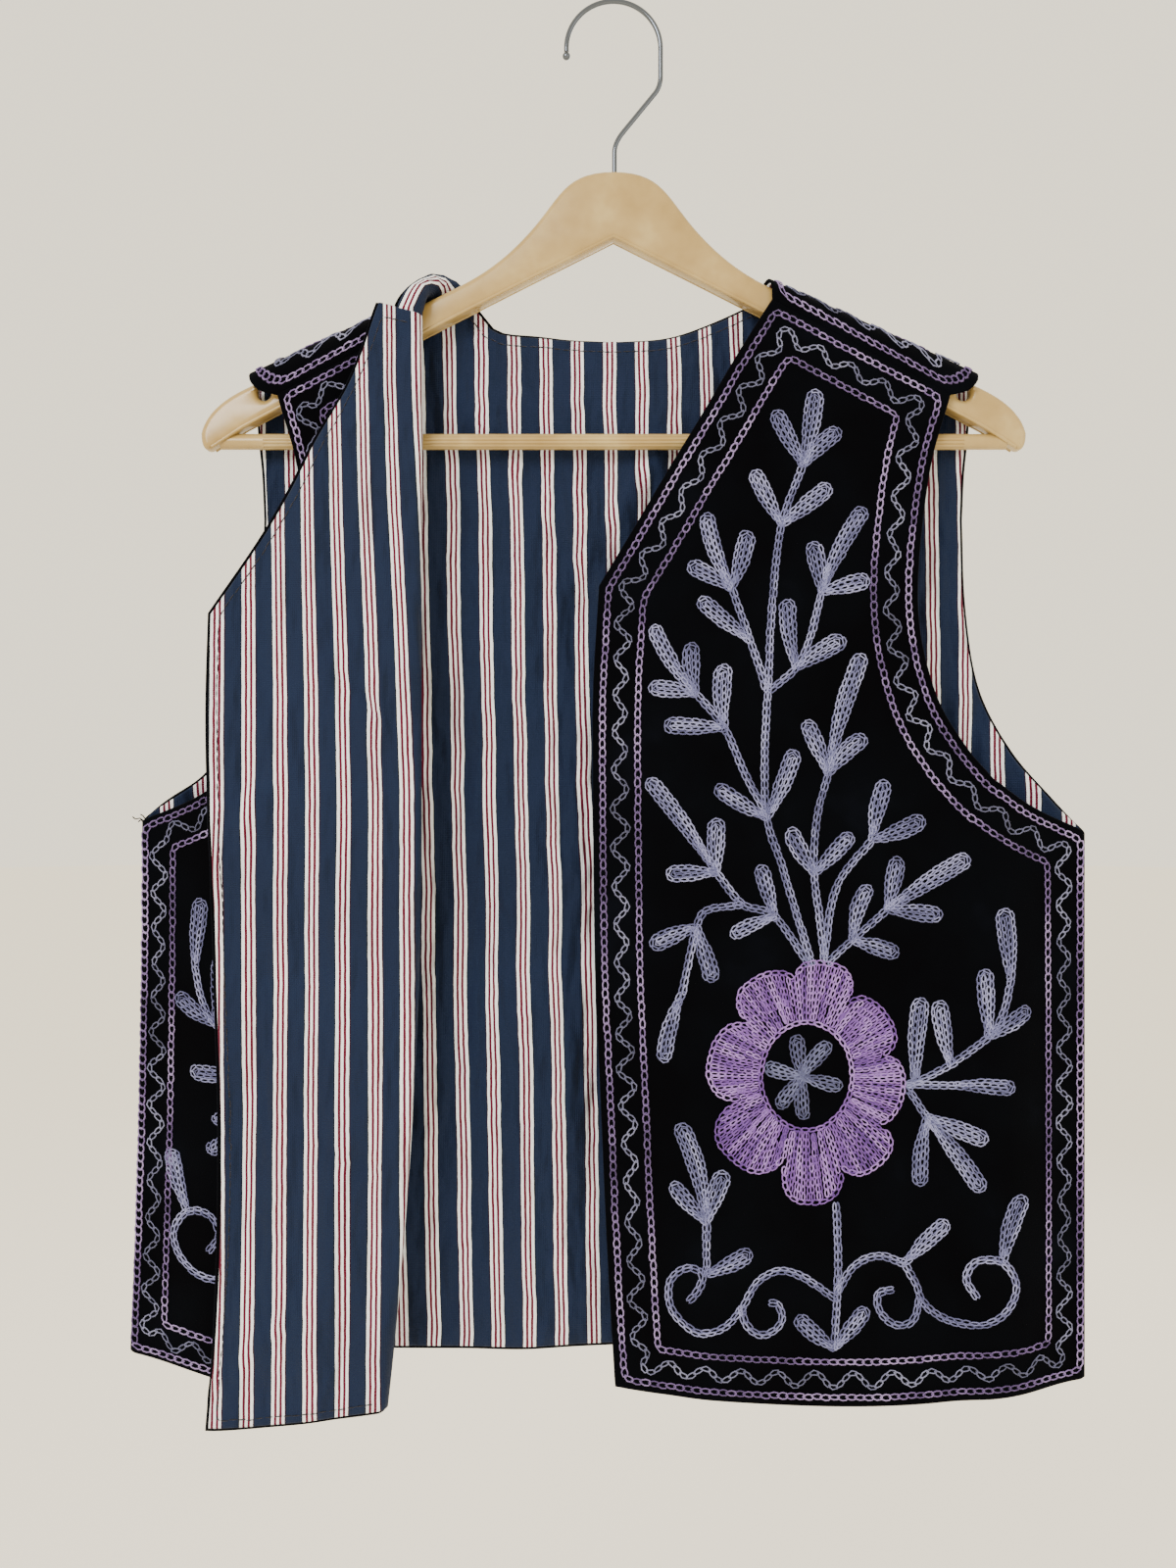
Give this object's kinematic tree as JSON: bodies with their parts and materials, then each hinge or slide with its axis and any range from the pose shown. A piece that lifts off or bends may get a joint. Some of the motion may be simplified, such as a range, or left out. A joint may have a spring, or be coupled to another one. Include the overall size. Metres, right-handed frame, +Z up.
{
  "type": "embroidered folk vest on a suit hanger",
  "caption": "Lined velvet waistcoat with chain-stitch embroidery, one front turned back over itself, hanging flat on a moulded suit hanger with a wire hook.",
  "frame": {"origin": "inside top of the hook's crook, where a rail or nail carries it", "axes": "+Z up, the front faces -Y, the wearer's left is +X"},
  "size_m": [0.4866, 0.0511, 0.7185],
  "materials": {
    "velvet": "near-black cotton velvet with a short dense pile",
    "lining_cotton": "plain-woven navy cotton with vertical white and dark red stripes",
    "embroidery_thread": "stranded cotton thread in lilac, orchid and grey-lavender",
    "hanger_plastic": "glossy moulded cream plastic",
    "hook_chrome": "bright plated wire"
  },
  "bodies": {
    "root": {"left_front_shell": "velvet", "left_front_lining": "lining_cotton", "right_front_shell": "velvet", "right_front_lining": "lining_cotton", "back_shell": "velvet", "back_lining": "lining_cotton", "hanger_body": "hanger_plastic", "trouser_bar": "hanger_plastic", "hanger_hook": "hook_chrome", "hook_tip": "hook_chrome"}
  },
  "joints": []
}
